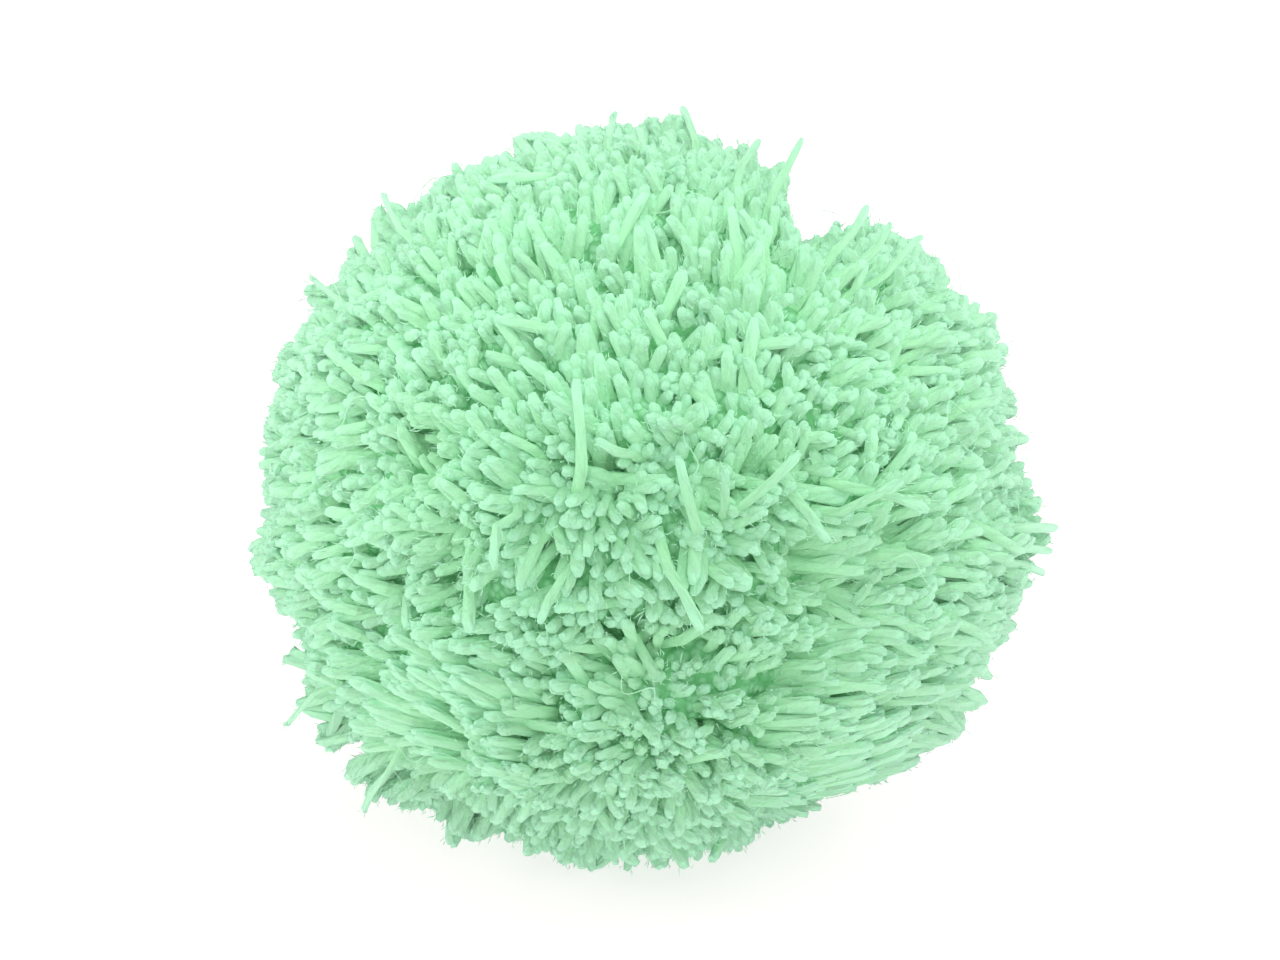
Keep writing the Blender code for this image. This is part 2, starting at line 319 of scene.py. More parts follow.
# %% Table of combing
COMB = (
    (-112, 82, -3, -1), (115, 85, 3, -2), (-89, 71, -3, -1), (60, 73, 5, 1),
    (-69, 57, -4, 1), (-37, 59, -4, 6), (-13, 63, -2, 7), (13, 62, -2, 8),
    (36, 58, 1, 9), (-88, 48, -2, 0), (-62, 43, -3, 2), (-39, 47, -2, 5),
    (-21, 49, -1, 6), (-2, 50, -3, 6), (16, 49, -4, 7), (33, 49, 4, 7),
    (57, 52, 5, 3), (75, 44, 4, 1), (-86, 37, -2, 1), (-51, 34, -2, 5),
    (-34, 34, -3, 6), (-18, 35, -2, 9), (-5, 36, -1, 7), (9, 34, 1, 7),
    (31, 32, 2, 2), (38, 42, 7, -4), (43, 34, 5, -6), (57, 31, 5, -4),
    (79, 31, 3, -1), (-90, 26, -1, 1), (-68, 28, -2, -1), (-37, 27, -7, -2),
    (-22, 27, -6, 1), (-10, 23, -3, 2), (2, 19, 0, 2), (13, 20, 1, 4),
    (20, 28, 5, 7), (40, 24, 2, 9), (57, 20, 6, 1), (76, 20, 3, -3),
    (-86, 15, 0, -1), (-59, 17, -3, -1), (-42, 17, -5, 4), (-31, 17, -5, 1),
    (-21, 9, -3, -3), (-12, 10, 1, -10), (-1, 9, 4, -5), (20, 8, 4, -5),
    (22, 18, 6, -5), (35, 8, 11, 2), (49, 11, 8, 4), (69, 8, 5, 0),
    (-82, 4, -1, -1), (-61, 3, -3, -1), (-46, 4, -2, -2), (-33, 3, -4, -1),
    (-23, -5, -6, 4), (-1, -6, 0, 10), (6, 6, 3, -6), (36, -3, 9, 0),
    (53, -1, 7, 1), (80, -4, 2, 1), (-79, -6, -2, 1), (-66, -11, -4, 3),
    (-51, -8, -7, 6), (-37, -8, -8, 8), (-31, -17, -12, 17), (-20, -17, -6, 9),
    (-12, -9, -4, 9), (2, -17, 1, 8), (10, -6, 1, 11), (14, -18, 2, 6),
    (21, -6, 7, 8), (32, -12, 15, 5), (58, -13, 7, 3), (-70, -26, -5, 7),
    (-45, -20, -16, 18), (-14, -22, -4, 5), (23, -21, 6, 5), (34, -23, 21, 12),
    (50, -20, 12, 8), (-64, -35, -2, -1), (-47, -33, -4, 0), (-14, -32, -4, 3),
    (-2, -31, 1, 2), (12, -32, 3, 3), (23, -39, 7, 1), (31, -33, 27, 16),
    (48, -31, 23, 21), (-39, -43, 0, -3), (-25, -49, -5, 1), (-9, -48, -1, -2),
    (8, -46, 5, -2),
)
COMB_SHARPNESS = 90.0
HIDDEN_COMB = 9.0


def tangents(ways):
    """Directions sideways and upwards on the ball at each place."""
    sideways = unit(np.stack((-ways[:, 1], ways[:, 0], 0.0 * ways[:, 0] + 1e-9), axis=1))
    return sideways, np.cross(ways, sideways)


comb_ways = [direction(row[0], row[1]) for row in COMB]
comb_sweeps = [(math.radians(row[2]), math.radians(row[3])) for row in COMB]
for way in evenly_spread(TUFTS_ALL_ROUND):
    if max(np.dot(comb_ways[: len(COMB)], way)) < math.cos(TUFT_SPACING):
        comb_ways.append(way)
        comb_sweeps.append(np.radians(draw.uniform(-HIDDEN_COMB, HIDDEN_COMB, 2)))
comb_ways, comb_sweeps = np.array(comb_ways), np.array(comb_sweeps)


def comb_at(ways):
    """How far ends at these places lie ahead of their roots, as vectors."""
    closeness = ways @ comb_ways.T
    weights = np.exp(COMB_SHARPNESS * (closeness - closeness.max(axis=1, keepdims=True)))
    sweeps = (weights / weights.sum(axis=1, keepdims=True)) @ comb_sweeps
    sideways, upwards = tangents(ways)
    return sweeps[:, :1] * sideways + sweeps[:, 1:] * upwards


print("Rows of the comb:", len(COMB), "and", len(comb_ways) - len(COMB), "behind")

# %% [markdown]
# # Where each strand goes
# The ends are spread evenly over the ball, drawn together a little in each tuft and in
# small clumps of four or five, and pushed apart round each pit. Their roots lie behind
# them, as far as the comb says. Last, every strand has its own lean, bend and length,
# as scissors and handling leave it, and a few stray far from their neighbours.

# %% Directions and lengths
CLUMP_PULL = 0.42
PARTING = 0.012
DEEPEST_PIT = 5.5
CLUMP_LEAN = 0.044
OWN_LEAN = 0.024
STRAY_SHARE = 0.06
STRAY_LEAN = 0.13
CLUMP_LENGTH_SPREAD = 0.0008
OWN_LENGTH_SPREAD = 0.0006
SHORT_TAIL = 0.0010
LONGEST_TAIL = 3.5
LENGTH_BELOW_TABLE = 0.0020
TIP_SCATTER = 0.008
CLUMP_SCATTER = 0.016
PARTING_RING = 0.6
PARTING_FALL = 1.5


def tuft_weights(ways):
    """Share of each tuft in each direction, from 0 to 1."""
    closeness = ways @ tuft_ways.T
    weights = np.exp(TUFT_SHARPNESS * (closeness - closeness.max(axis=1, keepdims=True)))
    return weights / weights.sum(axis=1, keepdims=True)


def pit_depth(ways):
    """How many mm each place lies down in a pit."""
    depths = np.zeros(len(ways))
    for turn, rise, depth, spread in PITS:
        away = np.arccos(np.clip(ways @ direction(turn, rise), -1.0, 1.0))
        depths += depth * np.exp(-((away / math.radians(spread)) ** 2))
    return DEEPEST_PIT * np.tanh(depths / DEEPEST_PIT)


def tip_reach(ways):
    """Distance from the middle to the yarn's ends along each direction."""
    reach = tuft_weights(ways) @ tuft_reaches
    nearest = np.arccos(np.clip((ways @ tuft_ways.T).max(axis=1), -1.0, 1.0))
    reach -= TUFT_DOME * (nearest / TUFT_SPACING) ** 2
    for dent in DENTS:
        away = np.arccos(np.clip(ways @ direction(dent["turn"], dent["rise"]), -1.0, 1.0))
        reach -= dent["depth"] * np.exp(-((away / dent["spread"]) ** 2))
    return reach - MILLIMETRE * pit_depth(ways)


def parted(ways):
    """The same directions, pushed away from the pits."""
    moved = ways.copy()
    for turn, rise, depth, spread in PITS:
        aside = ways - direction(turn, rise)
        away = np.linalg.norm(aside, axis=1, keepdims=True) / math.radians(spread)
        moved += PARTING * unit(aside) * np.exp(-((away - PARTING_RING) ** 2) * PARTING_FALL)
    return unit(moved)


def scattered(count, scatter):
    """Evenly spread unit vectors, each moved a little at random."""
    return unit(evenly_spread(count) + draw.normal(0.0, scatter, (count, 3)))


tips = scattered(STRANDS_ALL_ROUND, TIP_SCATTER)
clump_count = int(STRANDS_ALL_ROUND / STRANDS_PER_CLUMP)
clumps = scattered(clump_count, CLUMP_SCATTER)
own_clump = (tips @ clumps.T).argmax(axis=1)
clump_leans = draw.normal(0.0, CLUMP_LEAN, (clump_count, 3))
clump_lengths = draw.normal(0.0, CLUMP_LENGTH_SPREAD, clump_count)
is_stray = draw.uniform(size=(STRANDS_ALL_ROUND, 1)) < STRAY_SHARE
leans = clump_leans[own_clump] + draw.normal(0.0, OWN_LEAN, tips.shape)
leans += is_stray * draw.normal(0.0, STRAY_LEAN, tips.shape)
roots = unit(tips - comb_at(tips) - leans)
pull = CLUMP_PULL * (clumps[own_clump] - tips)
pull += TUFT_PULL * (tuft_weights(tips) @ tuft_ways - tips)
tips = parted(unit(tips + pull))
reaches = tip_reach(tips) - LENGTH_BELOW_TABLE + clump_lengths[own_clump]
reaches += draw.normal(0.0, OWN_LENGTH_SPREAD, STRANDS_ALL_ROUND)
shorter = draw.exponential(SHORT_TAIL, STRANDS_ALL_ROUND)
reaches -= shorter.clip(0.0, LONGEST_TAIL * SHORT_TAIL)
print("Strands:", STRANDS_ALL_ROUND, "in", clump_count, "clumps")

# %% [markdown]
# # Wisps
# Along the outline the ends cling together in wisps with a point, like a wet brush.
# Each row holds a wisp's turn and rise in degrees and how many mm from the middle its
# point lies. The strands round it are drawn to that point, the nearest ones most.

# %% Draw wisps to their points
WISPS = (
    (-82, -4, 50.6), (-81, -7, 50.8), (-79, -13, 48.9), (-76, -20, 50.2), (-73, -26, 51.5),
    (-70, -31, 52.2), (-66, -37, 52.1), (-63, -41, 51.5), (-52, -50, 50.6), (-49, -53, 48.9),
    (-19, -63, 47.2), (31, -60, 44.9), (43, -56, 44.0), (61, -43, 46.4), (65, -39, 46.7),
    (68, -34, 48.7), (70, -32, 48.7), (72, -27, 49.1), (83, -3, 50.6), (88, 10, 48.7),
    (90, 16, 47.3), (92, 23, 48.4), (94, 28, 49.0), (99, 38, 46.7), (101, 43, 46.7),
    (103, 47, 45.0), (107, 51, 44.8), (121, 64, 45.2), (131, 69, 46.3), (149, 74, 44.8),
    (162, 75, 48.2), (178, 76, 47.9), (-161, 75, 47.9), (-146, 73, 46.9), (-129, 68, 47.9),
    (-124, 66, 48.3), (-116, 61, 47.2), (-112, 58, 47.0), (-109, 54, 47.6), (-104, 47, 50.5),
    (-102, 45, 49.8), (-96, 31, 50.6), (-92, 23, 50.3), (-91, 20, 49.9), (-89, 15, 48.9),
    (-88, 12, 49.0), (-85, 3, 48.9),
)
WISP_SPREAD = math.radians(3.2)
WISP_PULL = 0.80
for turn, rise, reach in WISPS:
    point = direction(turn, rise)
    away = np.arccos(np.clip(tips @ point, -1.0, 1.0))
    share = np.exp(-((away / WISP_SPREAD) ** 2))
    tips = unit(tips + WISP_PULL * share[:, None] * (point - tips))
    reaches += share * (MILLIMETRE * reach - reaches)
print("Wisps:", len(WISPS))

# %% [markdown]
# # Lone strands
# A few strands stand out from the rest: they lie across their neighbours or stick out
# of the outline, and the eye goes to them first. Each has a row that says where it
# rises from the ball, where its end lies and how far out that is.

# %% Table of lone strands
LONE_STRANDS = (
    {"name": "pillar", "root": (-12, 19), "tip": (-11, 35), "reach": 0.0520, "width": 1.15},
    {"name": "lone", "root": (7, 13), "tip": (4, 25), "reach": 0.0515, "width": 1.05},
    {"name": "fork_left", "root": (11, 16), "tip": (10, 24), "reach": 0.0515, "width": 1.0},
    {"name": "fork_right", "root": (11, 16), "tip": (21, 25), "reach": 0.0515, "width": 1.0},
    {"name": "droop", "root": (1, 15), "tip": (6, 3), "reach": 0.0520, "width": 1.2},
    {"name": "arc", "root": (29, 20), "tip": (40, 14), "reach": 0.0510, "width": 1.1},
    {"name": "arc_low", "root": (27, 16), "tip": (37, 18), "reach": 0.0505, "width": 1.0},
    {"name": "curl_left", "root": (-7, 28), "tip": (-16, 33), "reach": 0.0505, "width": 1.0},
    {"name": "knuckle", "root": (-1, 25), "tip": (-8, 28), "reach": 0.0505, "width": 1.05},
    {"name": "short_left", "root": (-11, 11), "tip": (-15, 3), "reach": 0.0505, "width": 1.0},
    {"name": "hook_right", "root": (21, 21), "tip": (24, 13), "reach": 0.0510, "width": 1.1},
    {"name": "low_left", "root": (-22, 21), "tip": (-20, 9), "reach": 0.0505, "width": 1.0},
    {"name": "spike_top", "root": (130, 80), "tip": (160, 76), "reach": 0.0492, "width": 0.8},
    {"name": "spike_crown", "root": (-140, 79), "tip": (-160, 75), "reach": 0.0486, "width": 0.8},
    {"name": "spike_right", "root": (44, 64), "tip": (80, 69), "reach": 0.0510, "width": 0.8},
    {"name": "spike_right_low", "root": (34, 68), "tip": (73, 74), "reach": 0.0495, "width": 0.9},
    {"name": "ear_first", "root": (48, 52), "tip": (67, 56), "reach": 0.0500, "width": 0.9},
    {"name": "ear_second", "root": (46, 48), "tip": (68, 52), "reach": 0.0500, "width": 0.9},
    {"name": "ear_third", "root": (56, 47), "tip": (76, 47), "reach": 0.0500, "width": 0.9},
    {"name": "corner", "root": (62, 4), "tip": (84, -2), "reach": 0.0508, "width": 1.0},
    {"name": "corner_next", "root": (62, 2), "tip": (82, -5), "reach": 0.0505, "width": 1.0},
    {"name": "corner_low", "root": (62, 0), "tip": (80, -8), "reach": 0.0500, "width": 1.0},
    {"name": "left_spike", "root": (-62, -22), "tip": (-73, -27), "reach": 0.0538, "width": 0.65},
    {"name": "left_foot", "root": (-50, -30), "tip": (-64, -42), "reach": 0.0530, "width": 0.8},
    {"name": "left_top", "root": (-80, 50), "tip": (-104, 47), "reach": 0.0508, "width": 0.75},
    {"name": "left_top_low", "root": (-76, 36), "tip": (-96, 33), "reach": 0.0508, "width": 0.75},
)
NARROWEST, WIDEST = 0.88, 1.12
LONE_WIDTH = 0.80
lone_roots = np.array([direction(*row["root"]) for row in LONE_STRANDS])
lone_tips = np.array([direction(*row["tip"]) for row in LONE_STRANDS])
roots = np.concatenate((roots, lone_roots))
tips = np.concatenate((tips, lone_tips))
reaches = np.concatenate((reaches, [row["reach"] for row in LONE_STRANDS]))
widths = draw.uniform(NARROWEST, WIDEST, STRANDS_ALL_ROUND)
widths = np.concatenate((widths, [LONE_WIDTH * row["width"] for row in LONE_STRANDS]))
print("Lone strands:", len(LONE_STRANDS))

# %% [markdown]
# # Lines of the strands
# Each line starts at its root, bends over to its end and wavers a little. Yarn that
# would go through the surface below lies down on it and slides outwards instead.

# %% Bend every strand
BEND_POWER = 1.5
LONE_ROOT_SHARE = 0.85
WAVER = 0.022
WAVER_BEAT = 5.0
WAVER_EASE = 1.2
WAVER_GAIN = 2.0
DROOP = 0.0006
SLIDE_SHARE = 0.45
LAID_HEIGHT = 0.6 * STRAND_THICKNESS


def strand_lines(root_ways, tip_ways, tip_distances, root_shares, heights):
    """Points along each strand at the given shares of its length."""
    share = heights[None, :, None]
    bend = share**BEND_POWER
    ways = root_ways[:, None] * (1.0 - bend) + tip_ways[:, None] * bend
    waver = draw.normal(0.0, WAVER, (len(root_ways), 1, 3))
    phase = draw.uniform(0.0, 2.0 * math.pi, (len(root_ways), 1, 1))
    swing = np.sin(phase + WAVER_BEAT * share)
    ways = unit(ways + waver * swing * share * (WAVER_EASE - share) * WAVER_GAIN)
    start = (root_shares * tip_distances)[:, None, None]
    lines = ways * (start + (tip_distances[:, None, None] - start) * share)
    lines[:, :, 2:] -= DROOP * bend
    return lines + middle


def laid_on_surface(lines, thickness):
    """The same lines, lifted onto the surface below and spread outwards where they met it."""
    depth = np.maximum(thickness - lines[:, :, 2], 0.0)
    outwards = unit(lines[:, :, :2] - middle[:2])
    lines[:, :, :2] += outwards * depth[:, :, None] * SLIDE_SHARE
    lines[:, :, 2] += depth
    return lines


heights = strand_form[1]
kind_counts = (STRANDS_ALL_ROUND, len(LONE_STRANDS))
root_shares = np.repeat((ROOT_SHARE, LONE_ROOT_SHARE), kind_counts)
lines = strand_lines(roots, tips, reaches, root_shares, heights)
lines = laid_on_surface(lines, LAID_HEIGHT)
print("Lowest point of the lines in mm:", round(float(lines[:, :, 2].min()) * 1000, 2))

# %% [markdown]
# # Meshes from one strand
# The modelled strand is copied along each line. Making one object for each would slow
# Blender down, so the copies are joined at once into a few meshes, one for each side of
# the ball. Their map holds the strand's tone across and its length upwards, so every
# colour of the yarn can be read from the map alone, its painted shade and light too.
# Ends down in a pit lie lower in the map, so they get more painted shade. Lone strands
# start higher in it, so their roots get less painted shade. Light scatters in yarn and
# hides which way a strand's side faces, so the normals are bent outwards from the ball.

# %% Copy tubes along lines
TONES = 16
# Lone strands start higher in the map, so less painted shade falls on their roots. Strands in a pit
# end lower in it, which paints pit shade on them.
LONE_SHADE_LIFT = 0.55
SOFT_NORMALS = 1.5
PIT_SHADE = 0.070
STRAND_ROUGHNESS = 0.20
MAP_MARGIN = 0.001


def side_vectors(lines):
    """Two directions across each line at each of its points."""
    along = unit(np.gradient(lines, axis=1))
    overall = unit(lines[:, -1:] - lines[:, :1])
    guide = unit(np.cross(overall, draw.normal(size=(len(lines), 1, 3))))
    first = unit(guide - (guide * along).sum(axis=2, keepdims=True) * along)
    return first, np.cross(along, first)


def fill_map(mesh, corners, count, lift, sink):
    """Each copy's place in the map: a random tone across, root to end upwards.
    A lift gives less painted root shade, a sink more painted pit shade.
    """
    layer = mesh.uv_layers.new(name="OFBake")
    tone = draw.randint(0, TONES, count)
    u = (corners[None, :, 0] * (1.0 - 2 * MAP_MARGIN) + MAP_MARGIN + tone[:, None]) / TONES
    lowest = np.reshape(lift, (-1, 1)) * np.ones((count, 1))
    highest = 1.0 - np.reshape(sink, (-1, 1))
    v = lowest + (highest - lowest) * corners[None, :, 1]
    layer.data.foreach_set("uv", np.stack((u, v), axis=2).ravel())


def soften_normals(mesh, places):
    """Smooth shading with normals bent outwards from the middle of the ball."""
    mesh.shade_smooth()
    mesh.update()
    own_normals = np.array([normal.vector for normal in mesh.vertex_normals])
    outwards = unit(places - middle)
    facing = 1.0 + (own_normals * outwards).sum(axis=1, keepdims=True)
    soft_normals = unit(own_normals + SOFT_NORMALS * facing * outwards)
    mesh.normals_split_custom_set_from_vertices(soft_normals.tolist())


def copies_along(name, form, lines, radii, roughness=0.0, lift=0.0, sink=0.0):
    """One joined mesh with a copy of the modelled tube along each line."""
    across, _, station, faces, corners = form
    first, second = side_vectors(lines)
    swell = draw.uniform(1.0 - roughness, 1.0 + roughness, (len(lines), len(across), 1))
    size = radii[:, None, None] * swell
    points = lines[:, station] + size * (
        across[None, :, :1] * first[:, station] + across[None, :, 1:] * second[:, station]
    )
    points[:, :, 2] = np.maximum(points[:, :, 2], 0.0)
    count, step = points.shape[:2]
    starts = range(0, count * step, step)
    all_faces = [[start + corner for corner in face] for start in starts for face in faces]
    mesh = bpy.data.meshes.new(name)
    mesh.from_pydata(points.reshape(-1, 3).tolist(), [], all_faces)
    fill_map(mesh, corners, count, lift, sink)
    soften_normals(mesh, points.reshape(-1, 3))
    piece = bpy.data.objects.new(name, mesh)
    bpy.context.scene.collection.objects.link(piece)
    return piece


# %% Strands of the five sides
SIDES = ("front", "right", "back_right", "back_left", "left")
SIDE_WIDTH = 360.0 / len(SIDES)
turn = np.degrees(np.arctan2(tips[:, 0], -tips[:, 1]))
side = np.floor(((turn + SIDE_WIDTH / 2) % 360.0) / SIDE_WIDTH).astype(int) % len(SIDES)
radii = 0.5 * STRAND_THICKNESS * widths
# Painted shade: less at the roots of lone strands, more on ends down in a pit.
shade_lifts = np.repeat((0.0, LONE_SHADE_LIFT), kind_counts)
pit_shades = PIT_SHADE * pit_depth(tips) * (shade_lifts == 0.0)
strand_pieces = []
for number, name in enumerate(SIDES):
    chosen = side == number
    piece = copies_along(
        "strands_" + name, strand_form, lines[chosen], radii[chosen],
        STRAND_ROUGHNESS, shade_lifts[chosen], pit_shades[chosen],
    )
    strand_pieces.append(piece)
    triangles = sum(len(face.vertices) - 2 for face in piece.data.polygons)
    print(piece.name, chosen.sum(), "strands,", triangles, "triangles")

# %% [markdown]
# # Loose fibres
# Spun yarn is hairy. Short fibres stand out of every strand and out of its cut end, and
# blur its outline. A hair system would be lost in the exported model, so the spindle is
# copied along lines as the strand was. A few long curly ones are thin tubes and fly
# away from the ball.

# %% Short fibres
SHAFT_FIBRES = 34000
SHAFT_FIBRE_RADIUS = 0.000080
SHAFT_FIBRE_LENGTHS = (0.0010, 0.0022)
SHAFT_PLACES = (0.60, 0.96)
SHAFT_SPLAY = 0.70
END_FIBRES = 19000
END_FIBRE_RADIUS = 0.000070
END_FIBRE_LENGTHS = (0.0006, 0.0013)
END_PLACE = 0.97
END_SPLAY = 1.0
FIBRE_SEAT = 0.85
FIRST_ASIDE = (0.5, 1.2)
SECOND_ASIDE = (-0.3, 0.9)
FIBRE_WANDER = 0.5
FIBRE_WIDTHS = (0.8, 1.2)


def fibre_lines(count, place, splay, lengths):
    """Short bent lines that leave randomly chosen strands at the given places."""
    owner = draw.randint(0, len(lines), count)
    upper = np.searchsorted(heights, place).clip(1, len(heights) - 1)
    share = (place - heights[upper - 1]) / (heights[upper] - heights[upper - 1])
    below, above = lines[owner, upper - 1], lines[owner, upper]
    along = unit(above - below)
    aside = unit(np.cross(along, draw.normal(size=(count, 3))))
    start = below + share[:, None] * (above - below)
    start = start + aside * radii[owner][:, None] * FIBRE_SEAT
    length = draw.uniform(*lengths, count)[:, None]
    first = unit(along + splay * aside * draw.uniform(*FIRST_ASIDE, (count, 1)))
    second = unit(along + splay * aside * draw.uniform(*SECOND_ASIDE, (count, 1)))
    second = unit(second + FIBRE_WANDER * splay * draw.normal(size=(count, 3)))
    halfway = start + 0.5 * length * first
    return np.stack((start, halfway, halfway + 0.5 * length * second), axis=1), owner


shaft_places = draw.uniform(*SHAFT_PLACES, SHAFT_FIBRES)
shaft_fibres, shaft_owner = fibre_lines(
    SHAFT_FIBRES, shaft_places, SHAFT_SPLAY, SHAFT_FIBRE_LENGTHS
)
end_places = np.full(END_FIBRES, END_PLACE)
end_fibres, end_owner = fibre_lines(END_FIBRES, end_places, END_SPLAY, END_FIBRE_LENGTHS)
hair_lines = np.concatenate((shaft_fibres, end_fibres))
hair_side = side[np.concatenate((shaft_owner, end_owner))]
hair_radii = np.repeat((SHAFT_FIBRE_RADIUS, END_FIBRE_RADIUS), (SHAFT_FIBRES, END_FIBRES))
hair_radii *= draw.uniform(*FIBRE_WIDTHS, len(hair_radii))
fuzz_pieces = []
for number, name in enumerate(SIDES):
    chosen = hair_side == number
    piece = copies_along("fuzz_" + name, fibre_form, hair_lines[chosen], hair_radii[chosen])
    fuzz_pieces.append(piece)
    print("fuzz_" + name, chosen.sum(), "fibres")

# %% Long curly fibres
FLYAWAYS = 46
FLYAWAY_RADIUS = 0.000055
FLYAWAY_SCATTER = 0.15
FLYAWAY_LENGTHS = (0.004, 0.009)
FLYAWAY_SEAT = 0.0010
SWAY, SWAY_BEAT = 0.0012, 7.0
LIFT, LIFT_SWING, LIFT_BEAT = 0.0012, 0.0010, 4.0
LIFT_PHASE = 2.1
starts = scattered(FLYAWAYS, FLYAWAY_SCATTER)
away = unit(np.cross(starts, draw.normal(size=(FLYAWAYS, 3))))
across = np.cross(starts, away)
steps = curl_form[1][None, :, None]
length = draw.uniform(*FLYAWAY_LENGTHS, (FLYAWAYS, 1, 1))
phase = draw.uniform(0.0, 2.0 * math.pi, (FLYAWAYS, 1, 1))
sway = SWAY * np.sin(phase + SWAY_BEAT * steps)
lift = LIFT + LIFT_SWING * np.sin(LIFT_PHASE * phase + LIFT_BEAT * steps)
base = starts * (tip_reach(starts) - FLYAWAY_SEAT)[:, None]
curl_lines = base[:, None] + starts[:, None] * lift
curl_lines = curl_lines + away[:, None] * steps * length
curl_lines = curl_lines + across[:, None] * sway
curl_lines = laid_on_surface(curl_lines + middle, FLYAWAY_RADIUS)
flyaways = copies_along("flyaways", curl_form, curl_lines, np.full(FLYAWAYS, FLYAWAY_RADIUS))
fuzz_pieces.append(flyaways)
print("Flyaway fibres:", FLYAWAYS)

# %% [markdown]
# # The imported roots
# Deep between the tufts one sees yarn packed so tightly that it makes a solid ball. An
# icosphere pushed out to nine tenths of the yarn's reach fills that place, a little
# lower in the pits, with ridges where the roots lie side by side.

# %% Ball of roots
ROOT_BALL_SHARE = 0.89
ROOT_BALL_PITS = 0.0002
ROOT_BALL_LOWEST = 0.002
RIDGE_HEIGHT = 0.0006
RIDGE_RATE = 9.0
RIDGE_SPACING = 0.04
bpy.ops.object.select_all(action="DESELECT")
bpy.ops.mesh.primitive_ico_sphere_add(subdivisions=6, radius=1.0)
root_ball = bpy.context.object
root_ball.name = "root_ball"
ball_ways = unit(np.array([vertex.co for vertex in root_ball.data.vertices]))
nearest = np.arccos(np.clip((ball_ways @ clumps.T).max(axis=1), -1.0, 1.0))
ridge = RIDGE_HEIGHT * np.cos(RIDGE_RATE * nearest / RIDGE_SPACING)
ball_reach = ROOT_BALL_SHARE * tip_reach(ball_ways) + ridge
ball_reach -= ROOT_BALL_PITS * pit_depth(ball_ways)
ball_places = ball_ways * ball_reach[:, None] + middle
ball_places[:, 2] = np.maximum(ball_places[:, 2], ROOT_BALL_LOWEST)
root_ball.data.vertices.foreach_set("co", ball_places.ravel())
root_ball.data.shade_smooth()
root_ball.data.update()
print("Root ball points:", len(ball_places))

# %% [markdown]
# # Yarn finish
# The yarn is matt acrylic. Each strand has its own tone. Painted shade darkens it
# towards its root, where light hardly gets in, and painted light brightens its end.
# Its plies wind round it as soft diagonal grooves, with a little painted shade in them.
# Fine streaks are its fibres. All of it is worked out from the map, so it also bakes
# true. The root ball has no such map. Its grain of packed ends comes from its own
# coordinates, with painted shade in the gaps, and the whole ball is painted darker as
# shade.

# %% Node helpers
YARN_END_LIT = (0.330, 0.835, 0.480, 1.0)
YARN_LIGHT = (0.295, 0.755, 0.395, 1.0)
YARN_DEEP_SHADED = (0.255, 0.710, 0.320, 1.0)
ROOT_SHADE = (0.185, 0.640, 0.250, 1.0)
HAIR_ROOT = (0.32, 0.79, 0.43, 1.0)
HAIR_END = (0.42, 0.90, 0.58, 1.0)
# The packed ends are the yarn painted darker as shade, their gaps painted darker still.
PACKED_ENDS_SHADED = (0.24, 0.68, 0.33, 1.0)
PACKED_GAP_SHADE = (0.12, 0.48, 0.17, 1.0)
SHEEN_TINT = (0.55, 1.0, 0.72, 1.0)
PLIES = 3
PLY_WINDS = 5.0
STREAKS_ROUND = 2.2
STREAKS_ALONG = 26.0
STREAKS_BETWEEN_TONES = 5.3
# Shares of a strand's length between which one colour turns into the next. The darker
# colours lower down are painted shade, the lighter end is painted light.
DEEP_TO_LIGHT = (0.58, 0.95)
LIGHT_TO_END = (0.87, 0.975)
DEEP_TO_ROOT = (0.62, 0.10)
# What the three patterns multiply the colour with, darkest and lightest. The darker
# grooves are painted shade.
TONE_SHADES = (0.94, 1.04)
STREAK_SHADES = (0.92, 1.06)
GROOVE_PAINTED_SHADE = (0.95, 1.0)
STREAK_EDGES = (0.25, 0.75)
GROOVE_SHADE_EDGES = (0.0, 0.6)
PLY_RELIEF = 0.7
STREAK_RELIEF = 0.8
GAP_SHADE_EDGES = (0.25, 0.65)


def new_material(name):
    """A material with an empty node tree but for its shader."""
    material = bpy.data.materials.new(name)
    material.use_nodes = True
    return material, material.node_tree.nodes["Principled BSDF"]


def add(material, kind, **values):
    """A new node with some of its settings or inputs given by name."""
    node = material.node_tree.nodes.new(kind)
    for key, value in values.items():
        if hasattr(node, key):
            setattr(node, key, value)
        else:
            node.inputs[key.replace("_", " ")].default_value = value
    return node


def link(material, source, target):
    """Join an output to an input."""
    material.node_tree.links.new(source, target)


def calc(material, operation, *values):
    """A Math node whose inputs are numbers or other nodes' outputs."""
    node = add(material, "ShaderNodeMath", operation=operation)
    for slot, value in zip(node.inputs, values):
        if isinstance(value, (int, float)):
            slot.default_value = value
        else:
            link(material, value, slot)
    return node.outputs[0]


def blend_colours(material, share, first, second, mode="MIX"):
    """A colour between two others."""
    node = add(material, "ShaderNodeMix", data_type="RGBA", blend_type=mode)
    for slot, value in ((node.inputs[0], share), (node.inputs[6], first), (node.inputs[7], second)):
        if isinstance(value, (int, float, tuple)):
            slot.default_value = value
        else:
            link(material, value, slot)
    return node.outputs[2]


def soft_step(material, value, start, end, low_value=0.0, high_value=1.0):
    """A smooth step from one value to another."""
    node = add(material, "ShaderNodeMapRange", interpolation_type="SMOOTHSTEP")
    link(material, value, node.inputs[0])
    for slot, number in zip(node.inputs[1:5], (start, end, low_value, high_value)):
        slot.default_value = number
    return node.outputs[0]


